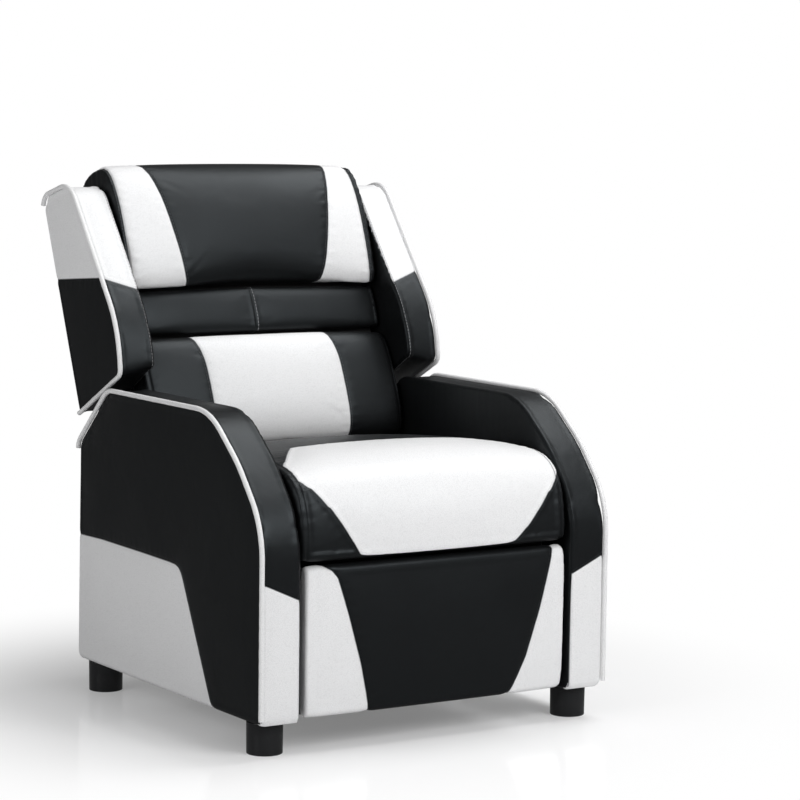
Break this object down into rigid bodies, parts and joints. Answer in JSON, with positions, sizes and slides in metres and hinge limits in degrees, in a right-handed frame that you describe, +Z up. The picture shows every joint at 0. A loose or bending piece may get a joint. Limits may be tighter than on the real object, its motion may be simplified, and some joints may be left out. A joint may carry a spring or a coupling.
{
  "type": "kids recliner",
  "caption": "Child's push-back recliner with padded arms, winged reclining back, sprung seat and a footrest on a folding linkage.",
  "frame": {"origin": "on the floor under the middle of the chair's box", "axes": "+X right seen from the front, +Y to the back, +Z up"},
  "size_m": [0.568, 0.6934, 0.7735],
  "materials": {
    "black_leather": "satin",
    "white_leather": "satin",
    "black_plastic": "gloss",
    "plywood": "raw",
    "coated_steel": "satin",
    "black_cloth": "matt"
  },
  "bodies": {
    "base": {"left_arm_cover": "black_leather", "right_arm_cover": "black_leather", "left_arm_frame": "plywood", "right_arm_frame": "plywood", "left_arm_piping": "white_leather", "right_arm_piping": "white_leather", "front_left_leg": "black_plastic", "front_right_leg": "black_plastic", "rear_left_leg": "black_plastic", "rear_right_leg": "black_plastic", "front_rail": "plywood", "rear_rail": "black_leather", "dust_cover": "black_cloth", "left_seat_cleat": "plywood", "right_seat_cleat": "plywood", "left_base_plate": "coated_steel", "right_base_plate": "coated_steel", "rear_skirt": "black_cloth"},
    "seat": {"seat_frame": "plywood", "seat_cushion": "black_leather", "seat_spring_1": "coated_steel", "seat_spring_2": "coated_steel", "seat_spring_3": "coated_steel", "left_seat_plate": "coated_steel", "right_seat_plate": "coated_steel", "cross_tube": "coated_steel"},
    "back": {"back_frame": "plywood", "back_front_board": "plywood", "back_cover": "black_leather", "headrest_cushion": "black_leather", "middle_cushion": "black_leather", "lumbar_cushion": "black_leather", "left_wing": "black_leather", "right_wing": "black_leather", "left_wing_piping": "white_leather", "right_wing_piping": "white_leather", "left_back_bracket": "coated_steel", "right_back_bracket": "coated_steel"},
    "rear_links": {"left_rear_link": "coated_steel", "right_rear_link": "coated_steel", "link_tie_bar": "coated_steel"},
    "idler_links": {"left_idler_link": "coated_steel", "right_idler_link": "coated_steel"},
    "front_links": {"left_front_link": "coated_steel", "right_front_link": "coated_steel"},
    "control_links": {"left_control_link": "coated_steel", "right_control_link": "coated_steel"},
    "footrest": {"footrest_board": "plywood", "footrest_pad": "black_leather", "left_footrest_bracket": "coated_steel", "right_footrest_bracket": "coated_steel", "leg_flap": "black_leather", "front_curtain": "black_cloth"}
  },
  "joints": [
    {"name": "back_recline", "type": "hinge", "parent": "base", "child": "back", "pos_m": [0, 0.12401, 0.31], "axis": [-1, 0, 0], "range_deg": [0, 41], "deforming": ["rear_skirt"]},
    {"name": "seat_tilt", "type": "hinge", "parent": "base", "child": "seat", "pos_m": [0, 0.08401, 0.262], "axis": [-1, 0, 0], "range_deg": [0, 5.01]},
    {"name": "footrest_open", "type": "hinge", "parent": "seat", "child": "rear_links", "pos_m": [0, -0.18099, 0.212], "axis": [-1, 0, 0], "range_deg": [0, 51.76], "deforming": ["leg_flap", "front_curtain"]},
    {"name": "idler_link_swing", "type": "hinge", "parent": "seat", "child": "idler_links", "pos_m": [0, -0.15884, 0.18808], "axis": [-1, 0, 0], "range_deg": [0, 51.7]},
    {"name": "front_link_fold", "type": "hinge", "parent": "rear_links", "child": "front_links", "pos_m": [0, -0.22265, 0.08096], "axis": [-1, 0, 0], "range_deg": [-84.9, 0]},
    {"name": "control_link_fold", "type": "hinge", "parent": "rear_links", "child": "control_links", "pos_m": [0, -0.2289, 0.0613], "axis": [-1, 0, 0], "range_deg": [-84.9, 0]},
    {"name": "footrest_turn", "type": "hinge", "parent": "front_links", "child": "footrest", "pos_m": [0, -0.28199, 0.205], "axis": [-1, 0, 0], "range_deg": [0, 86.75]}
  ],
  "couplings": [
    {"joint": "seat_tilt", "follows": "footrest_open", "ratio": 0.0966},
    {"joint": "idler_link_swing", "follows": "footrest_open", "ratio": 0.99706},
    {"joint": "front_link_fold", "follows": "footrest_open", "ratio": -1.6387},
    {"joint": "control_link_fold", "follows": "footrest_open", "ratio": -1.6358},
    {"joint": "footrest_turn", "follows": "footrest_open", "ratio": 1.6745}
  ]
}
